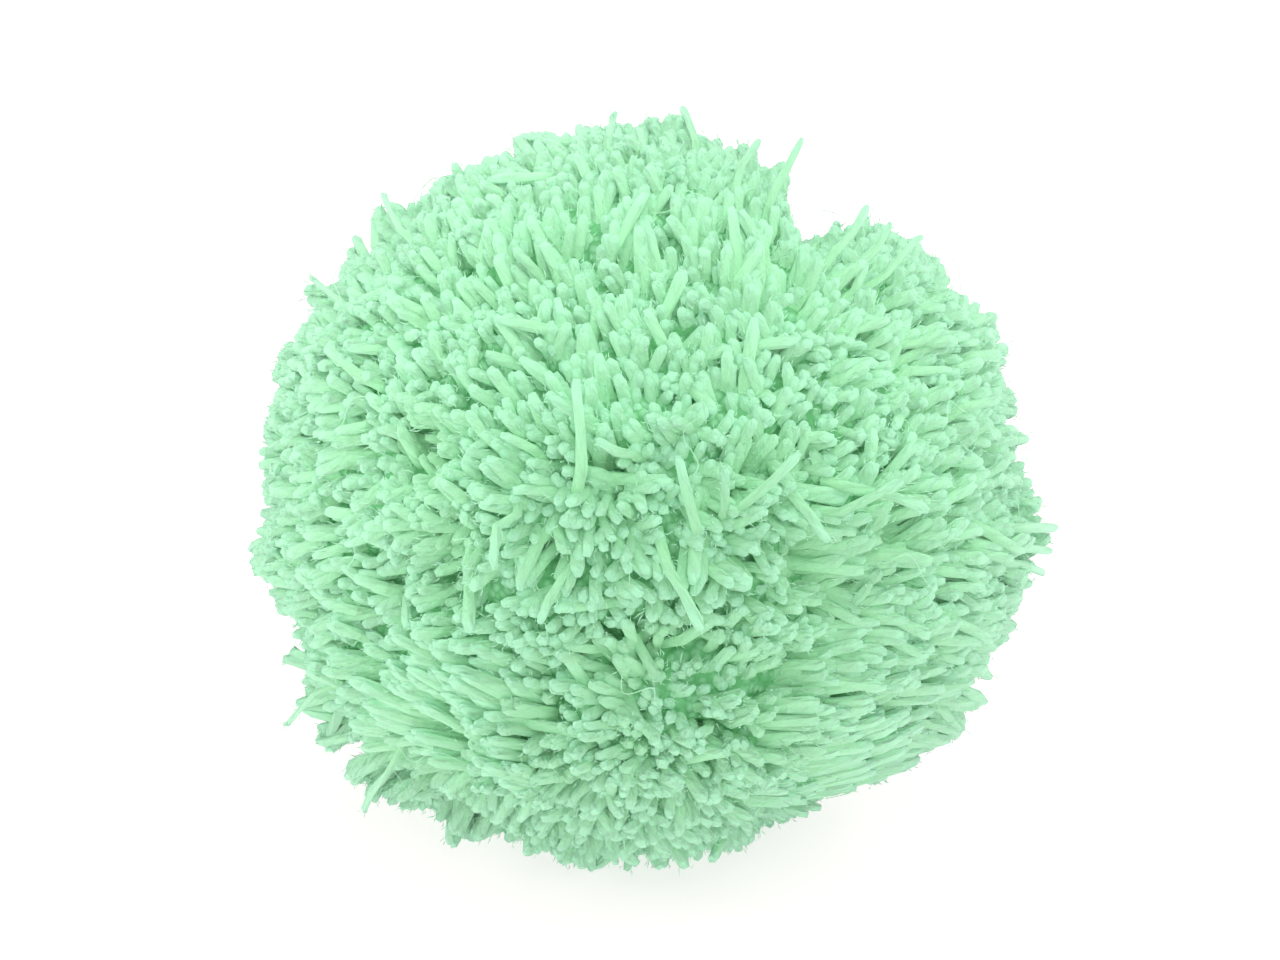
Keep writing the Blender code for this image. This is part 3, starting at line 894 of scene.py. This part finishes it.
# %% Yarn material
yarn, shader = new_material("yarn_strands")
place = add(yarn, "ShaderNodeUVMap", uv_map="OFBake")
split = add(yarn, "ShaderNodeSeparateXYZ")
link(yarn, place.outputs[0], split.inputs[0])
across_bands = calc(yarn, "MULTIPLY", split.outputs[0], TONES)
band = calc(yarn, "FLOOR", across_bands)
around = calc(yarn, "MULTIPLY", calc(yarn, "FRACT", across_bands), 2.0 * math.pi)
along = split.outputs[1]

tone = add(yarn, "ShaderNodeTexWhiteNoise", noise_dimensions="1D")
link(yarn, band, tone.inputs["W"])
turned = calc(yarn, "MULTIPLY", around, PLIES)
wound = calc(yarn, "MULTIPLY", along, 2.0 * math.pi * PLY_WINDS)
spiral = calc(yarn, "ADD", turned, wound)
plies = calc(yarn, "ABSOLUTE", calc(yarn, "SINE", calc(yarn, "MULTIPLY", spiral, 0.5)))

streak_x = calc(yarn, "MULTIPLY", calc(yarn, "COSINE", around), STREAKS_ROUND)
streak_y = calc(yarn, "MULTIPLY", calc(yarn, "SINE", around), STREAKS_ROUND)
streak_up = calc(yarn, "MULTIPLY", along, STREAKS_ALONG)
streak_z = calc(yarn, "ADD", streak_up, calc(yarn, "MULTIPLY", band, STREAKS_BETWEEN_TONES))
fibre_place = add(yarn, "ShaderNodeCombineXYZ")
for source, target in zip((streak_x, streak_y, streak_z), fibre_place.inputs):
    link(yarn, source, target)
fibres = add(yarn, "ShaderNodeTexNoise", Scale=1.6, Detail=3.0, Roughness=0.6)
link(yarn, fibre_place.outputs[0], fibres.inputs["Vector"])

# Painted shade towards the root and painted light at the end of each strand.
colour = blend_colours(yarn, soft_step(yarn, along, *DEEP_TO_LIGHT), YARN_DEEP_SHADED, YARN_LIGHT)
colour = blend_colours(yarn, soft_step(yarn, along, *LIGHT_TO_END), colour, YARN_END_LIT)
colour = blend_colours(yarn, soft_step(yarn, along, *DEEP_TO_ROOT), colour, ROOT_SHADE)

# %% Tone, streaks and grooves of the yarn
own = soft_step(yarn, tone.outputs[0], 0.0, 1.0, *TONE_SHADES)
streaks = soft_step(yarn, fibres.outputs[0], *STREAK_EDGES, *STREAK_SHADES)
# Painted shade in the ply grooves.
groove_shade = soft_step(yarn, plies, *GROOVE_SHADE_EDGES, *GROOVE_PAINTED_SHADE)
shade = calc(yarn, "MULTIPLY", calc(yarn, "MULTIPLY", own, streaks), groove_shade)
shade_colour = add(yarn, "ShaderNodeCombineColor")
for slot in shade_colour.inputs:
    link(yarn, shade, slot)
colour = blend_colours(yarn, 1.0, colour, shade_colour.outputs[0], "MULTIPLY")
link(yarn, colour, shader.inputs["Base Color"])

ply_height = calc(yarn, "MULTIPLY", plies, PLY_RELIEF)
streak_height = calc(yarn, "MULTIPLY", fibres.outputs[0], STREAK_RELIEF)
height = calc(yarn, "ADD", ply_height, streak_height)
bump = add(yarn, "ShaderNodeBump", Strength=0.6, Distance=0.00022)
link(yarn, height, bump.inputs["Height"])
link(yarn, bump.outputs[0], shader.inputs["Normal"])
shader.inputs["Roughness"].default_value = 0.95
shader.inputs["Specular IOR Level"].default_value = 0.15
shader.inputs["Sheen Weight"].default_value = 1.0
shader.inputs["Sheen Roughness"].default_value = 0.5
shader.inputs["Sheen Tint"].default_value = SHEEN_TINT
print("Nodes of the yarn:", len(yarn.node_tree.nodes))

# %% Fibre and root finishes
hair, shader = new_material("yarn_fibres")
place = add(hair, "ShaderNodeUVMap", uv_map="OFBake")
split = add(hair, "ShaderNodeSeparateXYZ")
link(hair, place.outputs[0], split.inputs[0])
colour = blend_colours(hair, split.outputs[1], HAIR_ROOT, HAIR_END)
link(hair, colour, shader.inputs["Base Color"])
shader.inputs["Roughness"].default_value = 0.8
shader.inputs["Specular IOR Level"].default_value = 0.2

packed, shader = new_material("packed_roots")
place = add(packed, "ShaderNodeTexCoord")
grain = add(packed, "ShaderNodeTexVoronoi", Scale=800.0)
link(packed, place.outputs["Object"], grain.inputs["Vector"])
# Painted shade in the gaps between the packed ends.
gap_shade = soft_step(packed, grain.outputs["Distance"], *GAP_SHADE_EDGES)
colour = blend_colours(packed, gap_shade, PACKED_ENDS_SHADED, PACKED_GAP_SHADE)
link(packed, colour, shader.inputs["Base Color"])
bump = add(packed, "ShaderNodeBump", Strength=1.0, Distance=0.0008)
bump.invert = True
link(packed, grain.outputs["Distance"], bump.inputs["Height"])
link(packed, bump.outputs[0], shader.inputs["Normal"])
shader.inputs["Roughness"].default_value = 1.0
shader.inputs["Specular IOR Level"].default_value = 0.0
print("Materials:", yarn.name, hair.name, packed.name)

# %% [markdown]
# # Put it together
# Every piece rides on the model's one body. Together they replace the imported solid,
# which stays, hidden.

# %% Assign materials and bodies
for piece, material in (
    [(piece, yarn) for piece in strand_pieces]
    + [(piece, hair) for piece in fuzz_pieces]
    + [(root_ball, packed)]
):
    piece.data.materials.clear()
    piece.data.materials.append(material)
    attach(piece, "root")
    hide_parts("pom_pom")
print("Pieces:", len(strand_pieces) + len(fuzz_pieces) + 1)

# %% [markdown]
# # Floor, light and camera
# The pom pom lies on pale card that glows a little, as an overexposed studio floor does.
# The card is slightly pink to cancel the green that the yarn throws on it. Four large
# lights stand in front, above and at both sides, and a pale sky fills the shadows. The
# camera looks down at the pom pom by 20 degrees through a long lens.

# %% Floor
FLOOR_SIZE = 6.0
CARD_COLOUR = (0.58, 0.45, 0.50, 1.0)
CARD_GLOW = (1.0, 1.0, 0.99, 1.0)
CARD_GLOW_STRENGTH = 0.66
bpy.ops.object.select_all(action="DESELECT")
bpy.ops.mesh.primitive_plane_add(size=FLOOR_SIZE, location=(0.0, 0.0, 0.0))
floor = bpy.context.object
floor.name = "floor"
card, shader = new_material("white_card")
shader.inputs["Base Color"].default_value = CARD_COLOUR
shader.inputs["Emission Color"].default_value = CARD_GLOW
shader.inputs["Emission Strength"].default_value = CARD_GLOW_STRENGTH
shader.inputs["Roughness"].default_value = 1.0
shader.inputs["Specular IOR Level"].default_value = 0.0
floor.data.materials.append(card)
floor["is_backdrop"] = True
print("Floor side in metres:", FLOOR_SIZE)

# %% Lights
LIGHTS = (
    {"name": "front", "place": (0.35, -2.2, 1.25), "size": 1.4, "power": 20.0},
    {"name": "top", "place": (0.05, -0.1, 2.2), "size": 1.6, "power": 30.0},
    {"name": "right", "place": (1.6, 0.4, 1.45), "size": 1.2, "power": 18.0},
    {"name": "left", "place": (-2.0, 0.3, 0.55), "size": 1.2, "power": 30.0},
)
LIGHT_COLOUR = (1.0, 0.99, 0.97)
SKY_COLOUR = (1.0, 1.0, 1.0, 1.0)
SKY_STRENGTH = 0.46
for row in LIGHTS:
    light = bpy.data.lights.new(row["name"], "AREA")
    light.size = row["size"]
    light.energy = row["power"]
    light.color = LIGHT_COLOUR
    holder = bpy.data.objects.new(row["name"], light)
    holder.location = row["place"]
    beam = Vector(middle) - Vector(row["place"])
    holder.rotation_euler = beam.to_track_quat("-Z", "Y").to_euler()
    bpy.context.scene.collection.objects.link(holder)
world = bpy.data.worlds.new("studio")
bpy.context.scene.world = world
world.use_nodes = True
background = world.node_tree.nodes["Background"]
background.inputs[0].default_value = SKY_COLOUR
background.inputs[1].default_value = SKY_STRENGTH
bpy.context.scene.view_settings.view_transform = "Standard"
bpy.context.scene.view_settings.gamma = 1.25
print("Lights:", len(LIGHTS))

# %% Camera
CAMERA_DISTANCE = 0.50
CAMERA_RISE = math.radians(20.0)
FRAME_WIDTH = 0.1608
SENSOR_WIDTH = 36.0
AIM_LEFT, AIM_UP = 0.00126, 0.00188
camera_up = Vector((0.0, math.sin(CAMERA_RISE), math.cos(CAMERA_RISE)))
towards_camera = Vector((0.0, -math.cos(CAMERA_RISE), math.sin(CAMERA_RISE)))
aim = Vector((0.0, 0.0, CENTRE_HEIGHT)) - Vector((AIM_LEFT, 0.0, 0.0)) + camera_up * AIM_UP
lens = bpy.data.cameras.new("camera")
lens.sensor_width = SENSOR_WIDTH
lens.lens = SENSOR_WIDTH * CAMERA_DISTANCE / FRAME_WIDTH
camera = bpy.data.objects.new("camera", lens)
camera.location = aim + towards_camera * CAMERA_DISTANCE
camera.rotation_euler = (-towards_camera).to_track_quat("-Z", "Y").to_euler()
bpy.context.scene.collection.objects.link(camera)
bpy.context.scene.camera = camera
print("Lens in mm:", round(lens.lens, 1))

# %% Visual size
visual_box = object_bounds()
visual_size = [round(1000 * (top - bottom), 1) for bottom, top in zip(*visual_box)]
print("Visual size in mm:", visual_size)
